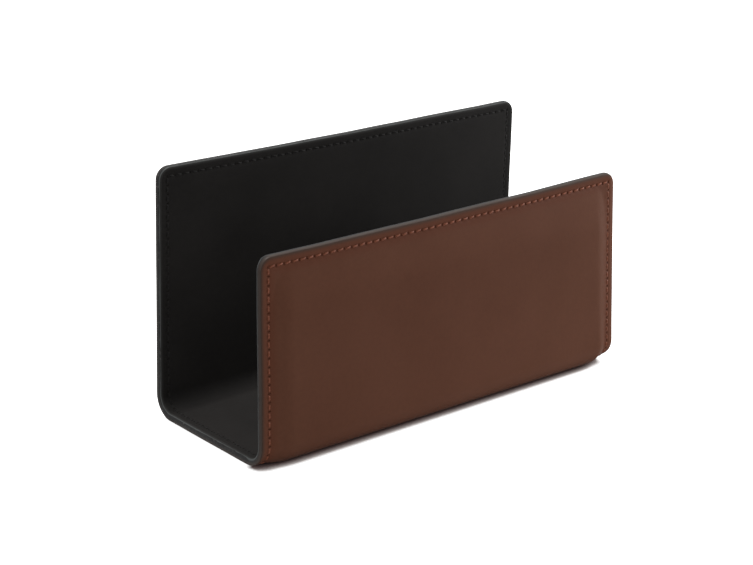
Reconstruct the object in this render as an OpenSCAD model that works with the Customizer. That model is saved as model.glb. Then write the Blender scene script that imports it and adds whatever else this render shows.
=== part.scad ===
// Desk letter holder: a U of sewn leather over a formed board, open at both ends.
// +X runs along the slot, the low front wall is at -Y, the tall back wall at +Y, +Z is up.
// The origin is on the desk, under the middle of the holder.

/* [Letter slot] */
// Clear width between the linings at the foot of the two walls
slot_width = 60; // [40:1:90]
// Length of the holder along the slot, over the painted edges
holder_length = 175; // [120:1:240]
// Height of the back wall above the desk
back_height = 97; // [70:1:140]
// Height of the front wall above the desk
front_height = 79; // [50:1:120]
// Lean of the front wall inwards, in degrees from upright
front_lean = 1.7992; // [0:0.0001:5]
// Lean of the back wall inwards, in degrees from upright
back_lean = 1.4563; // [0:0.0001:5]

/* [Leather] */
// Thickness of the brown cover
cover_thick = 1.5; // [1:0.1:2.5]
// Thickness of the black lining
lining_thick = 1.5; // [1:0.1:2.5]
// Inside radius where the base turns up into a wall
bend_radius = 6; // [4:0.5:12]
// Radius of the top corners of both walls, over the painted edge
corner_radius = 5; // [3:0.5:12]

/* [Core board] */
// Thickness of the board
board_thick = 1.5; // [1:0.1:2.5]
// Distance from the seam to the edge of the board
board_setback = 1; // [0.8:0.1:4]
// Width of the skived slope along both ends of the board
skive_run = 5.5; // [2:0.5:10]
// Width of the longer slope at the top of each wall
top_skive_run = 16; // [4:0.5:25]
// Thickness left at the skived edge
skive_edge = 0.3; // [0.2:0.1:0.6]

/* [Painted edge] */
// Height of the paint bead on the cut edge
coat_height = 0.5; // [0.3:0.1:0.8]

/* [Seam] */
// Distance from the painted edge to the seam
seam_inset = 3.7; // [2:0.1:5]
// Length of one stitch from hole to hole
stitch_pitch = 3.3; // [2.5:0.1:5]
// Part of the pitch where the thread goes down into its hole
hole_gap = 0.7; // [0.5:0.1:1]
// Diameter of the thread
thread_diameter = 0.8; // [0.5:0.1:1]
// Length over which a stitch narrows at each end
stitch_taper = 0.5; // [0.3:0.1:0.8]

/* [Hidden] */
$fn = 64;

// Colours of the pieces
cover_colour = [0.33, 0.22, 0.18];
lining_colour = [0.09, 0.09, 0.09];
board_colour = [0.62, 0.52, 0.40];
coat_colour = [0.22, 0.22, 0.22];
needle_colour = [0.55, 0.27, 0.18];
bobbin_colour = [0.13, 0.12, 0.12];

// Half lengths along the slot: cut leather, seam and board
leather_half = holder_length / 2 - coat_height;
seam_half = holder_length / 2 - seam_inset;
board_half = seam_half - board_setback;

// Heights of the layers of the base, and of the lowest point of the straight walls
parting_z = board_thick + cover_thick;
slot_floor_z = parting_z + lining_thick;
bend_z = slot_floor_z + bend_radius;

// The parting surface, where cover and board meet the lining
parting_radius = bend_radius + lining_thick;
bend_y = slot_width / 2 - bend_radius;
base_run = 2 * bend_y;

// Seams and bends: the stitches over one bend are counted on the cover
bend_stitches = max(1, round(PI / 2 * (parting_radius + cover_thick) / stitch_pitch));
thread_radius = thread_diameter / 2;
tip_radius = thread_radius / 2;

// Paint bead: an arc over the cut edge of both leathers
edge_width = cover_thick + lining_thick;
bead_radius = (pow(edge_width / 2, 2) + pow(coat_height, 2)) / (2 * coat_height);
bead_middle = (cover_thick - lining_thick) / 2;

// Straight run of a wall above its bend, which brings the top of its bead to the height
function wall_run(height, lean) = bead_radius
    + (height - bend_z - bead_radius - (parting_radius + bead_middle) * sin(lean)) / cos(lean);

front_run = wall_run(front_height, front_lean);
back_run = wall_run(back_height, back_lean);

// Sections across the holder: x along the slot, n outwards from the parting surface

function board_section() = [
    [-board_half, 0],
    [board_half, 0],
    [board_half, skive_edge],
    [board_half - skive_run, board_thick],
    [-board_half + skive_run, board_thick],
    [-board_half, skive_edge]
];

function swell_section() = [
    [-board_half, cover_thick],
    [-board_half, 0],
    [board_half, 0],
    [board_half, cover_thick],
    [board_half - skive_run, cover_thick + board_thick],
    [-board_half + skive_run, cover_thick + board_thick]
];

function cover_section() = [
    [-leather_half, 0],
    [-board_half, 0],
    [-board_half, skive_edge],
    [-board_half + skive_run, board_thick],
    [board_half - skive_run, board_thick],
    [board_half, skive_edge],
    [board_half, 0],
    [leather_half, 0],
    [leather_half, cover_thick],
    [board_half, cover_thick],
    [board_half - skive_run, cover_thick + board_thick],
    [-board_half + skive_run, cover_thick + board_thick],
    [-board_half, cover_thick],
    [-leather_half, cover_thick]
];

// The same slopes at the top of a wall: y up the wall, n outwards

function board_top(run) = run - seam_inset - board_setback;

function board_rise(run) = [
    [0, 0],
    [board_top(run), 0],
    [board_top(run), skive_edge],
    [board_top(run) - top_skive_run, board_thick],
    [0, board_thick]
];

function swell_rise(run) = [
    [0, 0],
    [board_top(run), 0],
    [board_top(run), cover_thick],
    [board_top(run) - top_skive_run, cover_thick + board_thick],
    [0, cover_thick + board_thick]
];

// A section (across the first axis, outwards on the second) turned about the axis of a bend
function turned(section) = [for (p = section) [parting_radius + p[1], p[0]]];

// Places of the panels: each is drawn flat, y up the panel and z outwards.
// A wall leans about the axis of its bend.

module at_front() {
    translate([0, -bend_y, bend_z]) rotate([-front_lean, 0, 0])
        translate([0, -parting_radius, 0]) rotate([90, 0, 0]) children();
}

module at_back() {
    translate([0, bend_y, bend_z]) rotate([back_lean, 0, 0])
        translate([0, parting_radius, 0]) rotate([90, 0, 180]) children();
}

module at_base() {
    translate([0, bend_y, parting_z]) rotate([180, 0, 0]) children();
}

// At the foot of a wall, children turn about the axis of its bend, from the wall to the base
module at_foot() {
    translate([0, 0, -parting_radius]) rotate([180, -90, 0]) children();
}

module bend(lean) {
    at_foot() rotate_extrude(angle = 90 + lean) children();
}

// Extrusions of a section up a panel and across it

module up_panel(run, section) {
    translate([0, run, 0]) rotate([90, 0, 0]) linear_extrude(run) polygon(section);
}

module across_panel(section) {
    translate([-leather_half, 0, 0]) rotate([90, 0, 90]) linear_extrude(2 * leather_half) polygon(section);
}

// Outline of a wall's leather, with its round top corners

module wall_outline(run) {
    top = run - coat_height;
    round_r = corner_radius - coat_height;
    translate([-leather_half, 0]) square([2 * leather_half, top - round_r]);
    translate([-leather_half + round_r, 0]) square([2 * (leather_half - round_r), top]);
    for (side = [-1, 1]) translate([side * (leather_half - round_r), top - round_r]) circle(round_r);
}

// Board

module board_panel(run) {
    intersection() {
        up_panel(run, board_section());
        across_panel(board_rise(run));
    }
}

module board_wall(run, lean) {
    board_panel(run);
    bend(lean) polygon(turned(board_section()));
}

module core_board() {
    color(board_colour) {
        at_front() board_wall(front_run, front_lean);
        at_back() board_wall(back_run, back_lean);
        at_base() up_panel(base_run, board_section());
    }
}

// Cover: it lies on the lining at the margin and climbs over the board

module cover_wall(run, lean) {
    difference() {
        union() {
            linear_extrude(cover_thick) wall_outline(run);
            intersection() {
                up_panel(run, swell_section());
                across_panel(swell_rise(run));
            }
        }
        board_panel(run);
    }
    bend(lean) polygon(turned(cover_section()));
}

module outer_cover() {
    color(cover_colour) {
        at_front() cover_wall(front_run, front_lean);
        at_back() cover_wall(back_run, back_lean);
        at_base() up_panel(base_run, cover_section());
    }
}

// Lining: one even thickness, flat on both faces

module lining_wall(run, lean) {
    translate([0, 0, -lining_thick]) linear_extrude(lining_thick) wall_outline(run);
    bend(lean) translate([bend_radius, -leather_half]) square([lining_thick, 2 * leather_half]);
}

module lining_base() {
    translate([-leather_half, 0, -lining_thick]) cube([2 * leather_half, base_run, lining_thick]);
}

module inner_lining() {
    color(lining_colour) {
        at_front() lining_wall(front_run, front_lean);
        at_back() lining_wall(back_run, back_lean);
        at_base() lining_base();
    }
}

// Painted edge: the bead's section has n on the first axis and stands out on the second

module bead_section() {
    intersection() {
        translate([bead_middle, coat_height - bead_radius]) circle(bead_radius);
        translate([-lining_thick, 0]) square([edge_width, coat_height]);
    }
}

// A straight bead along x, standing out along y, as wide as the edge along z
module bead_run(run) {
    rotate([90, 0, 90]) linear_extrude(run) rotate(90) mirror([0, 1]) bead_section();
}

// Beads along both ends of a panel
module bead_sides(run) {
    for (side = [0, 1]) mirror([side, 0, 0])
        translate([leather_half, run, 0]) rotate([0, 0, -90]) bead_run(run);
}

module bead_corner() {
    rotate_extrude(angle = 90)
        translate([corner_radius - coat_height, 0]) rotate(90) mirror([0, 1]) bead_section();
}

module bead_wall(run, lean) {
    top = run - coat_height;
    round_r = corner_radius - coat_height;
    bead_sides(top - round_r);
    translate([-leather_half + round_r, top, 0]) bead_run(2 * (leather_half - round_r));
    for (side = [0, 1]) mirror([side, 0, 0])
        translate([leather_half - round_r, top - round_r, 0]) bead_corner();
    bend(lean) for (side = [0, 1]) mirror([0, side])
        translate([parting_radius, leather_half]) bead_section();
}

module edge_coat() {
    color(coat_colour) {
        at_front() bead_wall(front_run, front_lean);
        at_back() bead_wall(back_run, back_lean);
        at_base() bead_sides(base_run);
    }
}

// Seam: half-round stitches that lie on the leather, with a gap at each needle hole

module stitch(reach) {
    rotate([90, 0, 90]) rotate_extrude(angle = 180) polygon([
        [0, 0],
        [tip_radius, 0],
        [thread_radius, stitch_taper],
        [thread_radius, reach - stitch_taper],
        [tip_radius, reach],
        [0, reach]
    ]);
}

// A row along x from the origin, with whole stitches
module stitch_row(run) {
    count = max(1, round(run / stitch_pitch));
    step = run / count;
    for (i = [0 : count - 1]) translate([i * step + hole_gap / 2, 0, 0]) stitch(step - hole_gap);
}

module stitch_sides(run) {
    for (side = [-1, 1]) translate([side * seam_half, 0, 0]) rotate([0, 0, 90]) stitch_row(run);
}

module stitch_wall(run) {
    seam_top = run - seam_inset;
    stitch_sides(seam_top);
    translate([-seam_half, seam_top, 0]) stitch_row(2 * seam_half);
}

// Bent stitches over a whole bend, on the outside (side 1) or the inside (side -1) of radius r
module stitch_bend(r, side, lean) {
    step = (90 + lean) / bend_stitches;
    gap = hole_gap / r * 180 / PI;
    for (x = [-seam_half, seam_half], i = [0 : bend_stitches - 1])
        rotate([0, 0, i * step + gap / 2]) rotate_extrude(angle = step - gap) translate([r, x])
            intersection() {
                circle(thread_radius);
                translate([side > 0 ? 0 : -thread_diameter, -thread_radius]) square(thread_diameter);
            }
}

module needle_wall(run, lean) {
    translate([0, 0, cover_thick]) stitch_wall(run);
    at_foot() stitch_bend(parting_radius + cover_thick, 1, lean);
}

module needle_thread() {
    color(needle_colour) {
        at_front() needle_wall(front_run, front_lean);
        at_back() needle_wall(back_run, back_lean);
        at_base() translate([0, 0, cover_thick]) stitch_sides(base_run);
    }
}

module bobbin_wall(run, lean) {
    translate([0, 0, -lining_thick]) mirror([0, 0, 1]) stitch_wall(run);
    at_foot() stitch_bend(bend_radius, -1, lean);
}

module bobbin_thread() {
    color(bobbin_colour) {
        at_front() bobbin_wall(front_run, front_lean);
        at_back() bobbin_wall(back_run, back_lean);
        at_base() translate([0, 0, -lining_thick]) mirror([0, 0, 1]) stitch_sides(base_run);
    }
}

outer_cover();
inner_lining();
core_board();
edge_coat();
needle_thread();
bobbin_thread();
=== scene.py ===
import math

import bmesh
import bpy
from mathutils import Matrix, Vector


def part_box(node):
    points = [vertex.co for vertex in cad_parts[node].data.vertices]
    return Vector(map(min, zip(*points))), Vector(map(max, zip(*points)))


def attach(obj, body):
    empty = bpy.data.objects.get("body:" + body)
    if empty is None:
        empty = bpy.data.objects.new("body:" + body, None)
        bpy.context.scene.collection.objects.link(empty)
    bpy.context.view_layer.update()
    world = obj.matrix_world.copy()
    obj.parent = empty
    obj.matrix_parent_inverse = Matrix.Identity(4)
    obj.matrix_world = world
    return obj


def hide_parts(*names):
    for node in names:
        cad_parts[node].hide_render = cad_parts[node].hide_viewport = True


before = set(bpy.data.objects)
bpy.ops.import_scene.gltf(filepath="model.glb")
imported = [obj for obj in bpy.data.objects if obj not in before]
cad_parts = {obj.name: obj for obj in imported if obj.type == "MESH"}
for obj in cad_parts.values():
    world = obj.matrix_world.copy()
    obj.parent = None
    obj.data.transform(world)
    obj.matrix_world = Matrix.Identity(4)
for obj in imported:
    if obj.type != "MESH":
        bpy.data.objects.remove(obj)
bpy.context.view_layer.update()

# The holder is sewn from flat strips, so each piece is modelled flat and then folded round one path.
# Flat pattern: x along the slot, y from the back wall's top edge round to the front wall's, z outwards.

# sizes that the frame gives: the lining's outer face is where cover and lining meet
liningLow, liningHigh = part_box("inner_lining")
leatherHalf = liningHigh.x
wallY = liningHigh.y
partingZ = liningLow.z
backTop = liningHigh.z
frontTop = max(v.co.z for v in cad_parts["inner_lining"].data.vertices if v.co.y < 0)

leather = {
    "cover": 0.0015,         # thickness of the brown cover
    "lining": 0.0015,        # thickness of the black lining
    "board": 0.0015,         # thickness of the core
    "bend": 0.0075,          # radius of the bends where cover and lining meet
    "setback": 0,            # both strips are cut to the full outline
    "corner": 0.0045,        # round of the cut corners
    "cornerSteps": 12,
    "smooth": 40,            # degrees, sharper edges stay crisp
}

bendZ = partingZ + leather["bend"]
bendY = wallY - leather["bend"]
backRun = backTop - bendZ
frontRun = frontTop - bendZ
baseRun = 2 * bendY
bendRun = math.pi / 2 * leather["bend"]
stops = [0, backRun, backRun + bendRun, backRun + bendRun + baseRun]
stops += [stops[3] + bendRun, stops[3] + bendRun + frontRun]
stripLength = stops[5]


# small helpers

touching = 0.00002           # places nearer than this are one
facing = 0.5                 # a flat face has more than this in its normal's z, a cut edge less


def workOn(piece):
    bpy.ops.object.select_all(action="DESELECT")
    piece.select_set(True)
    bpy.context.view_layer.objects.active = piece


def openMesh(piece):
    workOn(piece)
    bpy.ops.object.mode_set(mode="EDIT")
    bpy.ops.mesh.select_mode(type="FACE")
    bpy.ops.mesh.select_all(action="SELECT")


def closeMesh():
    bpy.ops.object.mode_set(mode="OBJECT")


def pick(piece, kind, test):
    bpy.ops.mesh.select_mode(type=kind)
    bpy.ops.mesh.select_all(action="DESELECT")
    mesh = bmesh.from_edit_mesh(piece.data)
    mesh.normal_update()
    for part in {"VERT": mesh.verts, "EDGE": mesh.edges, "FACE": mesh.faces}[kind]:
        part.select_set(test(part))
    mesh.select_flush_mode()
    bmesh.update_edit_mesh(piece.data)


def cutAcross(axis, places):
    normal = Vector((axis == "x", axis == "y", axis == "z"))
    for place in places:
        bpy.ops.mesh.select_all(action="SELECT")
        bpy.ops.mesh.bisect(plane_co=normal * place, plane_no=normal)


def copyOf(piece, name):
    twin = piece.copy()
    twin.data = piece.data.copy()
    twin.name = twin.data.name = name
    bpy.context.scene.collection.objects.link(twin)
    return twin


def addModifier(piece, kind, settings):
    modifier = piece.modifiers.new(kind.lower(), kind)
    for key, value in settings.items():
        setattr(modifier, key, value)
    return modifier


def applyModifiers(piece):
    workOn(piece)
    for modifier in list(piece.modifiers):
        bpy.ops.object.modifier_apply(modifier=modifier.name)


def onBothSides(values):
    return sorted([-v for v in values] + list(values))


def limited(value):
    return min(1, max(0, value))


def between(first, second, share):
    return first + (second - first) * share


def nearest(value, marks):
    return min(abs(value - mark) for mark in marks)


def pushOut(piece, height, share):
    group = piece.vertex_groups.new(name="push")
    for vertex in piece.data.vertices:
        group.add([vertex.index], share(vertex.co), "REPLACE")
    addModifier(piece, "DISPLACE", {
        "vertex_group": group.name, "direction": "Z", "strength": height, "mid_level": 0})
    applyModifiers(piece)
    piece.vertex_groups.clear()


# fold path, bent lattice and the small unevenness of hand-cut strips

folding = {
    "pathSteps": 600,
    "frontLeft": -0.0003,    # how far each top corner leans inwards
    "frontRight": 0.0047,
    "backLeft": 0.0040,
    "backRight": 0.0005,
    "frontSag": 0.0005,      # how far the top edges dip in the middle
    "backSag": 0.0004,
    "waver": 0.0004,         # strips are cut a little uneven
    "waverSize": 0.03,
    "waverDepth": 1,
    "latticePoints": (5, 2, 2),
}


def pathPoint(along):
    if along < stops[1]:
        return (0, wallY, backTop - along)
    if along < stops[2]:
        turn = (along - stops[1]) / leather["bend"]
        return (0, bendY + leather["bend"] * math.cos(turn), bendZ - leather["bend"] * math.sin(turn))
    if along < stops[3]:
        return (0, bendY - (along - stops[2]), partingZ)
    if along < stops[4]:
        turn = (along - stops[3]) / leather["bend"]
        return (0, -bendY - leather["bend"] * math.sin(turn), bendZ - leather["bend"] * math.cos(turn))
    return (0, -wallY, bendZ + along - stops[4])


def makeFoldPath():
    curve = bpy.data.curves.new("foldPath", "CURVE")
    curve.dimensions = "3D"
    curve.use_deform_bounds = False
    spline = curve.splines.new("POLY")
    spline.points.add(folding["pathSteps"])
    for i, point in enumerate(spline.points):
        point.co = (*pathPoint(stripLength * i / folding["pathSteps"]), 1)
        point.tilt = math.pi / 2
    path = bpy.data.objects.new("foldPath", curve)
    bpy.context.scene.collection.objects.link(path)
    return path


def makeLeanLattice():
    size = Vector((2 * leatherHalf, 2 * wallY, backTop))
    bpy.ops.object.add(type="LATTICE", location=(0, 0, backTop / 2))
    lattice = bpy.context.object
    lattice.name = "leanLattice"
    lattice.scale = size
    shape = lattice.data
    shape.points_u, shape.points_v, shape.points_w = folding["latticePoints"]
    shape.interpolation_type_u = "KEY_CARDINAL"
    shape.interpolation_type_v = shape.interpolation_type_w = "KEY_LINEAR"
    for point in shape.points:
        if point.co.z < 0:
            continue
        share = point.co.x + 0.5
        dip = 4 * share * (1 - share)        # whole at mid-length, none at the ends
        if point.co.y < 0:
            lean = between(folding["frontLeft"], folding["frontRight"], share)
            rise = backTop / frontTop
            point.co_deform.y += lean * rise / size.y
            point.co_deform.z -= dip * folding["frontSag"] * rise / size.z
        else:
            lean = between(folding["backLeft"], folding["backRight"], share)
            point.co_deform.y -= lean / size.y
            point.co_deform.z -= dip * folding["backSag"] / size.z
    return lattice


def makeWaver():
    texture = bpy.data.textures.new("stripWaver", "CLOUDS")
    texture.noise_scale = folding["waverSize"]
    texture.noise_depth = folding["waverDepth"]
    return texture


foldPath = makeFoldPath()
leanLattice = makeLeanLattice()
stripWaver = makeWaver()


def foldPiece(piece):
    for direction in ("X", "Y"):
        addModifier(piece, "DISPLACE", {
            "texture": stripWaver, "texture_coords": "LOCAL", "direction": direction,
            "strength": folding["waver"], "mid_level": 0.5})
    addModifier(piece, "CURVE", {"object": foldPath, "deform_axis": "POS_Y"})
    addModifier(piece, "LATTICE", {"object": leanLattice})
    applyModifiers(piece)


def finishPiece(piece, node, finish, angle=leather["smooth"]):
    workOn(piece)
    bpy.ops.object.shade_smooth_by_angle(angle=math.radians(angle))
    piece.data.materials.clear()
    piece.data.materials.append(finish)
    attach(piece, "root")
    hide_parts(node)
    print(piece.name, len(piece.data.polygons), "faces")


# seam marks: a needle hole at each mark, counted as the strips are sewn

seam = {
    "inset": 0.0032,         # from the cut edge to the seam
    "pitch": 0.0033,
    "hole": 0.0008,          # length of a needle hole along the seam
    "holeAcross": 0.0013,    # the awl leaves it wider across
    "lineGap": 0.6,          # least gap from a hole to other lines, as a share of its width
    "groove": 0.00012,       # the thread pulls the leather down
    "grooveReach": 0.0008,
    "levelSlack": 0.0003,    # places this near a face's level are on it
    "holeNear": 0.25,        # share of a hole's length, a face this near a mark is its hole
    "lipDrop": 0.2,          # share of a hole's depth that its soft lip takes
    "lipTaper": 0.6,
    "coverPared": 0.0003,    # the cover is thinner at the right end's cut edge
    "liningPared": 0.0008,   # and the lining at the front wall's left one
    "liningReach": 0.0024,
    "liningBend": 0.5,       # share of the front bend over which that begins
}
seamX = leatherHalf - seam["inset"]


def evenMarks(start, end):
    count = max(1, round((end - start) / seam["pitch"]))
    return [start + (end - start) * i / count for i in range(count + 1)]


rowMarks = evenMarks(-seamX, seamX)
rowPlaces = [seam["inset"], stripLength - seam["inset"]]
columnStops = [rowPlaces[0], *stops[1:5], rowPlaces[1]]
columnMarks = [columnStops[0]]
for start, end in zip(columnStops, columnStops[1:]):
    columnMarks += evenMarks(start, end)[1:]
print("seam", len(rowMarks) - 1, "stitches a row,", len(columnMarks) - 1, "a side")


# strip of leather, cut to its outline and marked with all its lines

blank = {
    "margin": [0.00012, 0.0003, 0.0005, 0.0008, 0.0011, 0.0016, 0.0022],   # lines between cut edge and seam
    "slopeStart": 0.0038,
    "slope": [0.0008, 0.0016, 0.0024, 0.0032, 0.0040, 0.0048, 0.0056, 0.0064, 0.0074, 0.0084, 0.0095],
    "leftRun": 0.0095,       # how far the cover climbs from each edge over the board
    "rightRun": 0.0068,
    "rightBendStart": 0.0045,                # further in where the bends stretch the cover
    "rightBendRun": 0.0048,
    "bendReach": 0.020,
    "rowRun": 0.020,
    "steady": 0.56,          # share of the climb before it rounds off
    "bendCuts": 4,
}


def cutOutline(name, level, cut):
    bpy.ops.mesh.primitive_plane_add(size=1, location=(0, stripLength / 2, level))
    outline = bpy.context.object
    outline.name = outline.data.name = name
    outline.scale = (2 * (leatherHalf - cut["setback"]), stripLength - 2 * cut["setback"], 1)
    bpy.ops.object.transform_apply(location=True, rotation=True, scale=True)
    openMesh(outline)
    bpy.ops.mesh.bevel(offset=cut["corner"], segments=cut["cornerSteps"], affect="VERTICES")
    closeMesh()
    return outline


def clearOf(places, marks):
    return [p for p in places if nearest(p, marks) > seam["lineGap"] * seam["holeAcross"]]


def holeLines(marks):
    lines = []
    for mark in marks:
        wide = seam["holeAcross"] if mark in (marks[0], marks[-1]) else seam["hole"]
        lines += [mark - wide / 2, mark + wide / 2]
    return lines


def bendLines():
    lines = []
    for start, end in zip(columnMarks, columnMarks[1:]):
        middle = (start + end) / 2
        if stops[1] < middle < stops[2] or stops[3] < middle < stops[4]:
            inner = [start + seam["hole"] / 2, end - seam["hole"] / 2]
            step = (inner[1] - inner[0]) / blank["bendCuts"]
            lines += [inner[0] + step * i for i in range(1, blank["bendCuts"])]
    return lines


def makeBlank():
    strip = cutOutline("stripBlank", 0, leather)
    openMesh(strip)
    edgeLines = blank["margin"] + [blank["slopeStart"]] + [blank["slopeStart"] + d for d in blank["slope"]]
    xLines = holeLines(rowMarks) + clearOf(onBothSides([leatherHalf - d for d in edgeLines]), rowMarks)
    yLines = holeLines(columnMarks) + clearOf(edgeLines + [stripLength - d for d in edgeLines], columnMarks)
    yLines += bendLines()
    cutAcross("x", sorted(xLines))
    cutAcross("y", sorted(yLines))
    closeMesh()
    print("blank", len(strip.data.polygons), "faces")
    return strip


def edgeDistance(place):
    corner = leather["corner"]
    fromEnd = leatherHalf - abs(place.x)
    fromTop = min(place.y, stripLength - place.y)
    if fromEnd < corner and fromTop < corner:
        return corner - math.hypot(corner - fromEnd, corner - fromTop)
    return min(fromEnd, fromTop)


def seamDistance(place):
    return min(abs(abs(place.x) - seamX), nearest(place.y, rowPlaces))


def markWear(piece, name, distance, reach):
    marked = piece.data.attributes.new(name, "FLOAT", "POINT")
    for vertex, value in zip(piece.data.vertices, marked.data):
        value.value = limited(1 - distance(vertex.co) / reach)


def climb(place):
    start = blank["slopeStart"]
    rowDistance = min(place.y, stripLength - place.y)
    bendDistance = max(stops[1] - place.y, place.y - stops[4], 0)
    upright = min(1, bendDistance / blank["bendReach"])
    rightStart = between(blank["rightBendStart"], start, upright)
    rightRun = between(blank["rightBendRun"], blank["rightRun"], upright)
    leftShare = (leatherHalf + place.x - start) / blank["leftRun"]
    rightShare = (leatherHalf - place.x - rightStart) / rightRun
    sideShare = min(leftShare, rightShare)
    rowShare = (rowDistance - start) / blank["rowRun"]
    share = max(0, 1 - math.hypot(max(0, 1 - sideShare), max(0, 1 - rowShare)))      # round at the corners
    whole = (1 + blank["steady"]) / 2
    if share < blank["steady"]:
        return share / whole
    return 1 - (1 - share) ** 2 / (2 * whole * (1 - blank["steady"]))


def coverMargin(place):
    toEdge = limited(1 - (leatherHalf - place.x) / seam["inset"])
    return toEdge * limited(place.z / leather["cover"])


def liningMargin(place):
    toEdge = limited(1 - (leatherHalf + place.x) / seam["liningReach"])
    onFront = limited((place.y - stops[3]) / (seam["liningBend"] * bendRun))
    return toEdge * onFront * limited(-place.z / leather["lining"])


def onSeam(place):
    reach = seam["holeAcross"] / 2 + touching
    besideRow = nearest(place.y, rowPlaces) < reach and abs(place.x) < seamX + reach
    besideSide = abs(abs(place.x) - seamX) < reach and rowPlaces[0] - reach < place.y < rowPlaces[1] + reach
    return besideRow or besideSide


def onHole(place):
    near = seam["holeNear"] * seam["hole"]
    onRow = nearest(place.y, rowPlaces) < near and nearest(place.x, rowMarks) < near
    onSide = abs(abs(place.x) - seamX) < near and nearest(place.y, columnMarks) < near
    return onRow or onSide


def sewStrip(piece, side, level, lip, depth):
    # side 1 sews the outer face, -1 the inner face, at that level
    openMesh(piece)
    pick(piece, "VERT", lambda v: abs(v.co.z - level) < seam["levelSlack"] and onSeam(v.co))
    bpy.ops.transform.translate(value=(0, 0, -side * seam["groove"]), use_proportional_edit=True,
                                proportional_edit_falloff="SMOOTH", proportional_size=seam["grooveReach"])
    pick(piece, "FACE", lambda f: side * f.normal.z > facing and onHole(f.calc_center_median()))
    drop = seam["lipDrop"]
    bpy.ops.mesh.inset(thickness=lip, depth=-drop * depth, use_individual=True)
    bpy.ops.mesh.inset(thickness=seam["lipTaper"] * lip, depth=(drop - 1) * depth, use_individual=True)
    closeMesh()


def rollEdge(piece, side, level, depth, reach):
    # the cut edge is pressed round
    def onRim(vertex):
        beside = any(abs(face.normal.z) < facing for face in vertex.link_faces)
        return beside and abs(vertex.co.z - level) < touching

    openMesh(piece)
    pick(piece, "VERT", onRim)
    bpy.ops.transform.translate(value=(0, 0, -side * depth), use_proportional_edit=True,
                                proportional_edit_falloff="SHARP", proportional_size=reach)
    closeMesh()


# finishes

noiseSpan = (0.3, 0.7)       # the stretch of a noise that is put to use
white = (1, 1, 1, 1)
fibreDetail = 3
grain = {
    "cloudDetail": 4,
    "wrinkleShare": 0.45,    # of the pores' scale
    "wrinkleDetail": 6,
    "wrinkleRoughness": 0.6,
    "speckSpan": (0.35, 0.65),
    "speckDark": (0.93, 0.93, 0.93),
}


def newFinish(name):
    finish = bpy.data.materials.new(name)
    finish.use_nodes = True
    tree = finish.node_tree
    shader = tree.nodes["Principled BSDF"]
    place = tree.nodes.new("ShaderNodeTexCoord")
    return finish, tree, shader, place.outputs["Object"]


def addNode(tree, kind, inputs=None, **settings):
    node = tree.nodes.new(kind)
    for key, value in settings.items():
        setattr(node, key, value)
    for key, value in (inputs or {}).items():
        if isinstance(value, bpy.types.NodeSocket):
            tree.links.new(value, node.inputs[key])
        else:
            node.inputs[key].default_value = value
    return node


def addNoise(tree, place, scale, detail, roughness=0.5):
    noise = addNode(tree, "ShaderNodeTexNoise", {
        "Vector": place, "Scale": scale, "Detail": detail, "Roughness": roughness})
    return noise.outputs["Fac"]


def addRamp(tree, factor, steps):
    steps = list(steps)
    ramp = addNode(tree, "ShaderNodeValToRGB", {"Fac": factor})
    stopsThere = ramp.color_ramp.elements
    while len(stopsThere) < len(steps):
        stopsThere.new(0.5)
    for stop, (place, colour) in zip(stopsThere, steps):
        stop.position = place
        stop.color = (*colour, 1)
    return ramp.outputs["Color"]


def addMath(tree, operation, *values):
    return addNode(tree, "ShaderNodeMath", dict(enumerate(values)), operation=operation).outputs["Value"]


def mixColours(tree, share, first, second, blend="MIX"):
    mix = addNode(tree, "ShaderNodeMix", {0: share, 6: first, 7: second}, data_type="RGBA", blend_type=blend)
    return mix.outputs[2]


def rescale(tree, value, span, result):
    scaled = addNode(tree, "ShaderNodeMapRange", {
        "Value": value, "From Min": span[0], "From Max": span[1], "To Min": result[0], "To Max": result[1]})
    return scaled.outputs["Result"]


def addBump(tree, shader, height, strength, depth):
    bump = addNode(tree, "ShaderNodeBump", {"Height": height, "Strength": strength, "Distance": depth})
    tree.links.new(bump.outputs["Normal"], shader.inputs["Normal"])


def makeLeather(name, look):
    finish, tree, shader, place = newFinish(name)
    cloud = addNoise(tree, place, look["cloudScale"], grain["cloudDetail"])
    wrinkle = addNoise(tree, place, look["grainScale"] * grain["wrinkleShare"], grain["wrinkleDetail"],
                       grain["wrinkleRoughness"])
    pores = addNode(tree, "ShaderNodeTexVoronoi", {"Vector": place, "Scale": look["grainScale"]},
                    feature="SMOOTH_F1")
    colour = addRamp(tree, cloud, zip(noiseSpan, (look["dark"], look["light"])))
    speck = addRamp(tree, wrinkle, zip(grain["speckSpan"], (grain["speckDark"], white[:3])))
    colour = mixColours(tree, 1.0, colour, speck, "MULTIPLY")
    # each marked place mixes in its tint: real stains, and on the cover the painted highlight of the right
    # margin
    for mark, tint in look["marksAndHighlight"].items():
        there = addNode(tree, "ShaderNodeAttribute", attribute_name=mark)
        colour = mixColours(tree, there.outputs["Fac"], colour, (*tint, 1))
    tree.links.new(colour, shader.inputs["Base Color"])
    tree.links.new(rescale(tree, wrinkle, noiseSpan, look["gloss"]), shader.inputs["Roughness"])
    height = addMath(tree, "ADD", pores.outputs["Distance"], wrinkle)
    addBump(tree, shader, height, look["bump"], look["grainDepth"])
    shader.inputs["Specular IOR Level"].default_value = look["specular"]
    return finish


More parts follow.
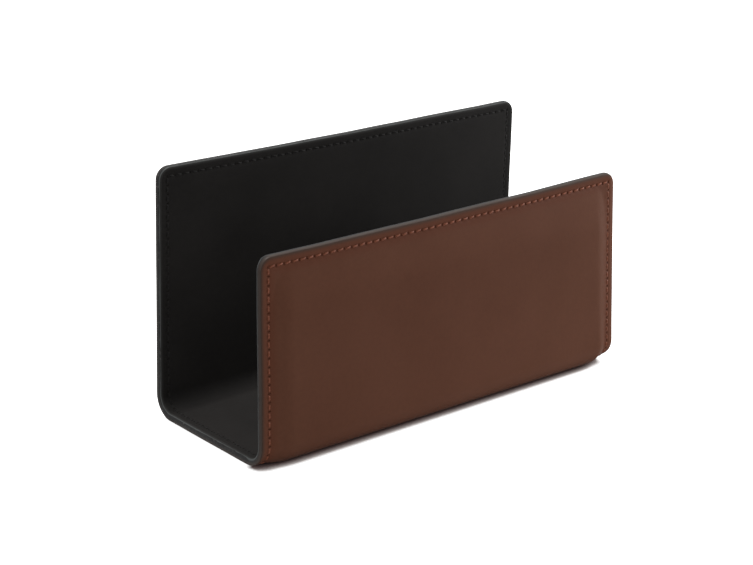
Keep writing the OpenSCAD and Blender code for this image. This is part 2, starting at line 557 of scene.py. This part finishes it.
def makePaint(name, look):
    finish, tree, shader, place = newFinish(name)
    streak = addNoise(tree, place, look["markScale"], look["markDetail"])
    colour = addRamp(tree, streak, zip(look["streakSteps"], (look["dark"], look["light"], look["tint"])))
    across = addNode(tree, "ShaderNodeAttribute", attribute_name="across").outputs["Fac"]
    drift = addNoise(tree, place, look["driftScale"], look["driftDetail"])
    shifted = addMath(tree, "MULTIPLY_ADD", drift, look["drift"], across)
    middle = look["drift"] / 2
    # painted highlight: a lighter line along the bead's rim on the lining's side
    rimEnds = (middle, middle + look["rimShare"], middle + look["rimFade"])
    onRim = addRamp(tree, shifted, zip(rimEnds, ((1, 1, 1), (1, 1, 1), (0, 0, 0))))
    onCover = addRamp(tree, shifted, zip(look["stainSpan"], ((0, 0, 0), (1, 1, 1))))
    colour = mixColours(tree, onRim, colour, (*look["rimHighlight"], 1))
    colour = mixColours(tree, onCover, colour, (*look["stain"], 1))
    tree.links.new(colour, shader.inputs["Base Color"])
    tree.links.new(rescale(tree, streak, noiseSpan, look["gloss"]), shader.inputs["Roughness"])
    lumps = addNoise(tree, place, look["lumpScale"], look["lumpDetail"])
    addBump(tree, shader, lumps, look["bump"], look["lumpDepth"])
    shader.inputs["Specular IOR Level"].default_value = look["specular"]
    return finish


def makeFibre(name, look):
    finish, tree, shader, place = newFinish(name)
    fuzz = addNoise(tree, place, look["fibreScale"], fibreDetail)
    colour = addRamp(tree, fuzz, zip(noiseSpan, (look["dark"], look["light"])))
    tree.links.new(colour, shader.inputs["Base Color"])
    shader.inputs["Roughness"].default_value = look["roughness"]
    shader.inputs["Specular IOR Level"].default_value = look["specular"]
    addBump(tree, shader, fuzz, look["bump"], look["fibreDepth"])
    return finish


# cover: brown leather that climbs from the stitched margin over the board

cover = {
    "dark": (0.075, 0.0295, 0.0173),
    "light": (0.087, 0.0356, 0.0214),
    "marksAndHighlight": {"sewn": (0.077, 0.0262, 0.0145),                # redder round the seam
             # rightHighlight is painted light: the right margin drawn paler for the light from the right
             "stained": (0.036, 0.025, 0.020), "rightHighlight": (0.0955, 0.0375, 0.0229)},
    "sewnReach": 0.0035,
    "stainReach": 0.0013,    # edge paint has crept a little way over the faces
    "rightHighlightWidth": 0.0017,    # painted highlight: the right margin is drawn paler for the light from the right
    "rightHighlightReach": 0.0006,
    "cloudScale": 22,
    "grainScale": 1500,
    "grainDepth": 0.00004,
    "bump": 0.35,
    "gloss": (0.46, 0.60),
    "specular": 0.03,
    "rollDepth": 0.00012,
    "rollReach": 0.0008,
    "holeLip": 0.00012,
    "holeDepth": 0.0003,
}


def makeCover(strip):
    piece = copyOf(strip, "outerCover")
    openMesh(piece)
    pick(piece, "VERT", lambda v: True)
    bpy.ops.transform.translate(value=(0, 0, leather["cover"]))
    closeMesh()
    pushOut(piece, leather["board"], climb)
    addModifier(piece, "SOLIDIFY", {"thickness": leather["cover"], "offset": -1})
    applyModifiers(piece)
    rollEdge(piece, 1, leather["cover"], cover["rollDepth"], cover["rollReach"])
    pushOut(piece, -seam["coverPared"], coverMargin)
    markWear(piece, "sewn", seamDistance, cover["sewnReach"])
    markWear(piece, "stained", edgeDistance, cover["stainReach"])
    # painted highlight along the right margin
    markWear(piece, "rightHighlight", lambda place: leatherHalf - cover["rightHighlightWidth"] - place.x, cover["rightHighlightReach"])
    sewStrip(piece, 1, leather["cover"], cover["holeLip"], cover["holeDepth"])
    foldPiece(piece)
    finishPiece(piece, "outer_cover", makeLeather("brownLeather", cover))


# lining: black leather, even but for its pared edge at the front wall's left end

lining = {
    "dark": (0.0121, 0.0113, 0.0108),
    "light": (0.0160, 0.0148, 0.0141),
    "marksAndHighlight": {"stained": (0.030, 0.029, 0.028)},
    "stainReach": 0.0010,
    "cloudScale": 30,
    "grainScale": 1300,
    "grainDepth": 0.00005,
    "bump": 0.4,
    "gloss": (0.5, 0.66),
    "specular": 0.025,
    "rollDepth": 0.0001,
    "rollReach": 0.0006,
    "holeLip": 0.00014,
    "holeDepth": 0.00024,
}


def makeLining(strip):
    piece = copyOf(strip, "innerLining")
    addModifier(piece, "SOLIDIFY", {"thickness": leather["lining"], "offset": -1})
    applyModifiers(piece)
    rollEdge(piece, -1, -leather["lining"], lining["rollDepth"], lining["rollReach"])
    pushOut(piece, seam["liningPared"], liningMargin)
    markWear(piece, "stained", edgeDistance, lining["stainReach"])
    sewStrip(piece, -1, -leather["lining"], lining["holeLip"], lining["holeDepth"])
    foldPiece(piece)
    finishPiece(piece, "inner_lining", makeLeather("blackLeather", lining))


# core: a formed board with skived edges, closed in between the two leathers

core = {
    "setback": 0.0048,       # from the cut edge
    "corner": 0.012,
    "cornerSteps": 8,
    "slack": 0.00002,        # gap under the cover
    "acrossCuts": 4,
    "endMarks": 4,           # seam marks that the skived ends take
    "dark": (0.26, 0.19, 0.12),
    "light": (0.36, 0.28, 0.19),
    "fibreScale": 400,
    "fibreDepth": 0.00005,
    "bump": 0.4,
    "roughness": 0.9,
    "specular": 0.1,
}


def makeCore():
    piece = cutOutline("coreBoard", 0, core)
    lines = [blank["slopeStart"] + d for d in blank["slope"][1:]]
    cuts, marks = core["acrossCuts"], core["endMarks"]
    openMesh(piece)
    cutAcross("x", onBothSides([leatherHalf - d for d in lines]))
    cutAcross("x", [leatherHalf * i / cuts for i in range(1 - cuts, cuts)])
    cutAcross("y", lines + [stripLength - d for d in lines] + columnMarks[marks:-marks] + bendLines())
    closeMesh()
    pushOut(piece, leather["board"] - core["slack"], climb)
    openMesh(piece)
    bpy.ops.mesh.extrude_region_move(TRANSFORM_OT_translate={"value": (0, 0, -2 * leather["board"])})
    pick(piece, "VERT", lambda v: v.co.z < 0)
    bpy.ops.transform.resize(value=(1, 1, 0), center_override=(0, 0, 0))
    bpy.ops.mesh.select_all(action="SELECT")
    bpy.ops.mesh.normals_make_consistent(inside=False)
    closeMesh()
    foldPiece(piece)
    finishPiece(piece, "core_board", makeFibre("fibreBoard", core))


# painted edge: a domed bead of dark paint over the cut edges of both leathers

coat = {
    "height": 0.0004,
    "inner": -0.0014,        # reaches from the lining's rolled edge to the cover's
    "outer": 0.0014,
    "rows": [0.3, 0.6, 0.8, 0.92, 0.98],     # shares of its half width
    "cuts": (0, 0.0011, 0.0022),             # after each seam mark
    "dark": (0.0105, 0.0102, 0.0100),
    "light": (0.0195, 0.0190, 0.0184),
    # light worn specks among the streaks
    "tint": (0.065, 0.062, 0.058),
    "rimHighlight": (0.056, 0.060, 0.059),            # painted highlight along the bead's rim on the lining's side
    "rimShare": 0.055,
    "rimFade": 0.088,
    "drift": 0.3,            # how far the painted rim highlight and the stain wander across
    "driftScale": 112.5,
    "driftDetail": 2,
    "streakSteps": (0.35, 0.6, 0.78),
    "stainSpan": (0.6, 1.0),
    "highlightSpread": 1.2,           # the painted rim highlight spreads on the front wall's left end
    "stain": (0.038, 0.027, 0.022),          # thin over the cover's brown edge
    "specular": 0.12,
    "markScale": 900,
    "markDetail": 5,
    "lumpScale": 600,
    "lumpDetail": 3,
    "lumpDepth": 0.00008,
    "bump": 0.3,
    "gloss": (0.34, 0.5),
    "smooth": 60,
}


def makeCoat():
    piece = cutOutline("edgeCoat", coat["inner"], leather)
    wide = coat["outer"] - coat["inner"]
    openMesh(piece)
    bpy.ops.mesh.delete(type="ONLY_FACE")
    bpy.ops.mesh.select_mode(type="EDGE")
    bpy.ops.mesh.select_all(action="SELECT")
    bpy.ops.mesh.extrude_edges_move(TRANSFORM_OT_translate={"value": (0, 0, wide)})
    middle = coat["inner"] + wide / 2
    cutAcross("z", [middle] + [middle + wide / 2 * r for r in onBothSides(coat["rows"])])
    cutAcross("x", [mark + cut for mark in rowMarks[1:-1] for cut in coat["cuts"]])
    cutAcross("y", [mark + cut for mark in columnMarks[1:-1] for cut in coat["cuts"]] + bendLines())
    bpy.ops.mesh.select_all(action="SELECT")
    bpy.ops.mesh.normals_make_consistent(inside=False)
    faces = bmesh.from_edit_mesh(piece.data).faces
    rightEnd = next(f for f in faces if f.calc_center_median().x > leatherHalf - touching)
    if rightEnd.normal.x < 0:
        bpy.ops.mesh.flip_normals()
    pick(piece, "VERT", lambda v: abs(v.co.z - middle) < touching)
    bpy.ops.transform.shrink_fatten(value=coat["height"], use_proportional_edit=True,
                                    proportional_edit_falloff="SPHERE", proportional_size=wide / 2)
    pick(piece, "EDGE", lambda e: e.is_boundary)
    bpy.ops.mesh.bridge_edge_loops()
    bpy.ops.mesh.select_all(action="SELECT")
    bpy.ops.mesh.normals_make_consistent(inside=False)
    closeMesh()
    across = piece.data.attributes.new("across", "FLOAT", "POINT")
    for vertex, value in zip(piece.data.vertices, across.data):
        # pushed towards the lining's side where the lining is pared, so the painted rim highlight spreads
        # there
        value.value = (vertex.co.z - coat["inner"]) / wide - coat["highlightSpread"] * liningMargin(vertex.co)
    pushOut(piece, -seam["coverPared"], coverMargin)
    pushOut(piece, seam["liningPared"], liningMargin)
    foldPiece(piece)
    finishPiece(piece, "edge_coat", makePaint("edgePaint", coat), coat["smooth"])


# stitches: one twisted stitch, copied along the seam on both faces

stitching = {
    "radius": 0.0004,
    "flat": 0.78,            # a two-ply thread is narrower one way
    "sides": 6,
    "cuts": 7,
    "turns": 0.9,
    "lift": -0.00005,        # height of the thread's middle over the leather
    "dive": 0.00065,         # its ends go down into the needle holes
    "diveReach": 0.0008,
    "gap": 0.0007,           # between two stitches at their hole
    "rowSlant": 13,          # degrees
    "sideSlant": 4,
    "slantShare": 0.8,       # no two are quite alike
    "slantVary": 0.3,
    "varyStep": 2.4,
    "smooth": 80,
}
needle = {
    "dark": (0.112, 0.034, 0.0165),
    "light": (0.165, 0.052, 0.027),
    "fibreScale": 2500,
    "fibreDepth": 0.00004,
    "bump": 0.4,
    "roughness": 0.6,
    "specular": 0.15,
}
bobbin = {
    "dark": (0.008, 0.0076, 0.0073),
    "light": (0.013, 0.0123, 0.0119),
    "fibreScale": 2500,
    "fibreDepth": 0.00004,
    "bump": 0.4,
    "roughness": 0.65,
    "specular": 0.06,
}


def makeStitch():
    long = seam["pitch"] - stitching["gap"]
    bpy.ops.mesh.primitive_cylinder_add(vertices=stitching["sides"], radius=stitching["radius"], depth=long,
                                        rotation=(0, math.pi / 2, 0))
    stitch = bpy.context.object
    stitch.name = "oneStitch"
    bpy.ops.object.transform_apply(location=True, rotation=True, scale=True)
    openMesh(stitch)
    bpy.ops.transform.resize(value=(1, stitching["flat"], 1), center_override=(0, 0, 0))
    cutAcross("x", [long * (i / (stitching["cuts"] + 1) - 0.5) for i in range(1, stitching["cuts"] + 1)])
    closeMesh()
    addModifier(stitch, "SIMPLE_DEFORM", {"deform_method": "TWIST", "deform_axis": "X",
                                          "angle": 2 * math.pi * stitching["turns"]})
    applyModifiers(stitch)
    openMesh(stitch)
    pick(stitch, "VERT", lambda v: abs(v.co.x) > long / 2 - touching)
    bpy.ops.transform.translate(value=(0, 0, -stitching["dive"]), use_proportional_edit=True,
                                proportional_edit_falloff="SHARP", proportional_size=stitching["diveReach"])
    bpy.ops.mesh.select_all(action="SELECT")
    bpy.ops.transform.translate(value=(0, 0, stitching["lift"]))
    closeMesh()
    return stitch


def sewThread(stitch, name, side, level, node, finish):
    copies = []

    def addStitch(start, end, turn, slant):
        middle = (start + end) / 2
        vary = stitching["slantVary"] * math.sin(len(copies) * stitching["varyStep"])
        pulled = math.radians(slant * (stitching["slantShare"] + vary))
        twin = copyOf(stitch, name)
        turned = Matrix.Rotation(turn + pulled, 4, "Z")
        flipped = Matrix.Rotation(0 if side > 0 else math.pi, 4, "X")
        stretched = Matrix.Diagonal(((end - start).length / seam["pitch"], 1, 1, 1))
        twin.data.transform(Matrix.Translation(middle) @ turned @ flipped @ stretched)
        copies.append(twin)

    for y in rowPlaces:
        for start, end in zip(rowMarks, rowMarks[1:]):
            addStitch(Vector((start, y, level)), Vector((end, y, level)), 0, stitching["rowSlant"])
    for x in (-seamX, seamX):
        for start, end in zip(columnMarks, columnMarks[1:]):
            addStitch(Vector((x, start, level)), Vector((x, end, level)), math.pi / 2, stitching["sideSlant"])
    bpy.ops.object.select_all(action="DESELECT")
    for twin in copies:
        twin.select_set(True)
    bpy.context.view_layer.objects.active = copies[0]
    bpy.ops.object.join()
    piece = copies[0]
    piece.name = piece.data.name = name
    foldPiece(piece)
    finishPiece(piece, node, finish, stitching["smooth"])


stripBlank = makeBlank()
makeCover(stripBlank)
makeLining(stripBlank)
makeCore()
makeCoat()
oneStitch = makeStitch()
sewThread(oneStitch, "needleThread", 1, leather["cover"] - seam["groove"], "needle_thread",
          makeFibre("rustThread", needle))
sewThread(oneStitch, "bobbinThread", -1, -leather["lining"] + seam["groove"], "bobbin_thread",
          makeFibre("blackThread", bobbin))
for helper in (stripBlank, oneStitch, foldPath, leanLattice):
    bpy.data.objects.remove(helper)
print("pieces folded")


# stage: a white table top that keeps the holder's shadow

stage = {
    "floorSize": 6,
    "floorColour": (0.66, 0.66, 0.66),
    "floorGlow": 1.0,        # lifts the floor to white for the camera alone
    "floorDrop": 0.0001,
    "floorRoughness": 0.9,
    "shadowReach": 0.007,
    "shadowSamples": 16,
    "shadow": [(0.06, (0, 0, 0)), (0.16, (0.055, 0.036, 0.034)), (0.24, (0.135, 0.107, 0.102)),
               (0.32, (0.33, 0.305, 0.295)), (0.43, (1, 1, 1))],         # openness and the shade it gives
    "clearEnd": (-0.0835, -0.0805),          # no shadow is seen past the left end
    "clearFront": (-0.0240, -0.0195),        # it goes further under the front bend
    "frontReach": 0.0045,
    "ambient": 0.16,
    "lampAim": (0, 0, 0.05),
}
lamps = {
    "keyLamp": {"power": 5.7, "size": (0.45, 0.26), "place": (0.66, -0.24, 0.22), "shine": 0.3},
    "topLamp": {"power": 25.0, "size": (0.6, 0.12), "place": (0.0, 0.035, 1.4), "shine": 1.0},
    "fillLamp": {"power": 4.2, "size": (0.45, 0.45), "place": (-1.12, -0.72, 0.30), "shine": 0.0},
}


def seenRays(tree):
    rays = addNode(tree, "ShaderNodeLightPath").outputs
    either = addMath(tree, "MAXIMUM", rays["Is Camera Ray"], rays["Is Glossy Ray"])
    return addMath(tree, "MAXIMUM", either, rays["Is Transmission Ray"])


def makeFloor():
    bpy.ops.mesh.primitive_plane_add(size=stage["floorSize"], location=(0, 0, -stage["floorDrop"]))
    floor = bpy.context.object
    floor.name = "tableTop"
    bpy.ops.object.transform_apply(location=True, rotation=True, scale=True)
    finish, tree, shader, where = newFinish("whiteTable")
    shader.inputs["Roughness"].default_value = stage["floorRoughness"]
    shader.inputs["Specular IOR Level"].default_value = 0.0
    openness = addNode(tree, "ShaderNodeAmbientOcclusion", {"Distance": stage["shadowReach"]},
                       samples=stage["shadowSamples"])
    shade = addRamp(tree, openness.outputs["AO"], stage["shadow"])
    split = addNode(tree, "ShaderNodeSeparateXYZ", {0: where})
    atFront = rescale(tree, split.outputs["Y"], stage["clearFront"], (stage["frontReach"], 0))
    along = addMath(tree, "ADD", split.outputs["X"], atFront)
    lit = mixColours(tree, rescale(tree, along, stage["clearEnd"], (1, 0)), shade, white)
    toCamera = addNode(tree, "ShaderNodeLightPath").outputs["Is Camera Ray"]
    seen = mixColours(tree, toCamera, white, lit)
    colour = mixColours(tree, 1.0, seen, (*stage["floorColour"], 1), "MULTIPLY")
    glow = addMath(tree, "MULTIPLY", toCamera, stage["floorGlow"])
    tree.links.new(colour, shader.inputs["Base Color"])
    tree.links.new(lit, shader.inputs["Emission Color"])
    tree.links.new(glow, shader.inputs["Emission Strength"])
    floor.data.materials.append(finish)


def makeWorld():
    world = bpy.data.worlds.new("studio")
    bpy.context.scene.world = world
    world.use_nodes = True
    tree = world.node_tree
    sky = tree.nodes["Background"]
    sky.inputs["Color"].default_value = white
    level = rescale(tree, seenRays(tree), (0, 1), (stage["ambient"], 1))
    tree.links.new(level, sky.inputs["Strength"])


def addLamp(name, look):
    aim = Vector(stage["lampAim"]) - Vector(look["place"])
    turned = aim.to_track_quat("-Z", "Y").to_euler()
    bpy.ops.object.light_add(type="AREA", location=look["place"], rotation=turned)
    lamp = bpy.context.object
    lamp.name = name
    lamp.data.energy = look["power"]
    lamp.data.shape = "RECTANGLE"
    lamp.data.size, lamp.data.size_y = look["size"]
    lamp.data.specular_factor = look["shine"]


makeFloor()
makeWorld()
for name, look in lamps.items():
    addLamp(name, look)

# camera at the photograph's viewing angle
shot = {
    "place": (-0.41379, -0.48417, 0.25949),
    "turn": 39.864,          # degrees to the right of +y
    "tilt": 18.731,          # down
    "roll": 0.705,
    "lens": 84.93,
    "sensor": 36,
    "nearClip": 0.01,
}


def makeCamera():
    bpy.ops.object.camera_add(location=shot["place"])
    camera = bpy.context.object
    turned = Matrix.Rotation(-math.radians(shot["turn"]), 3, "Z")
    tilted = Matrix.Rotation(math.pi / 2 - math.radians(shot["tilt"]), 3, "X")
    rolled = Matrix.Rotation(math.radians(shot["roll"]), 3, "Z")
    camera.rotation_euler = (turned @ tilted @ rolled).to_euler()
    camera.data.lens = shot["lens"]
    camera.data.sensor_width = shot["sensor"]
    camera.data.clip_start = shot["nearClip"]
    bpy.context.scene.camera = camera


makeCamera()
bpy.context.scene.view_settings.view_transform = "Standard"
print("stage, lamps and camera set")
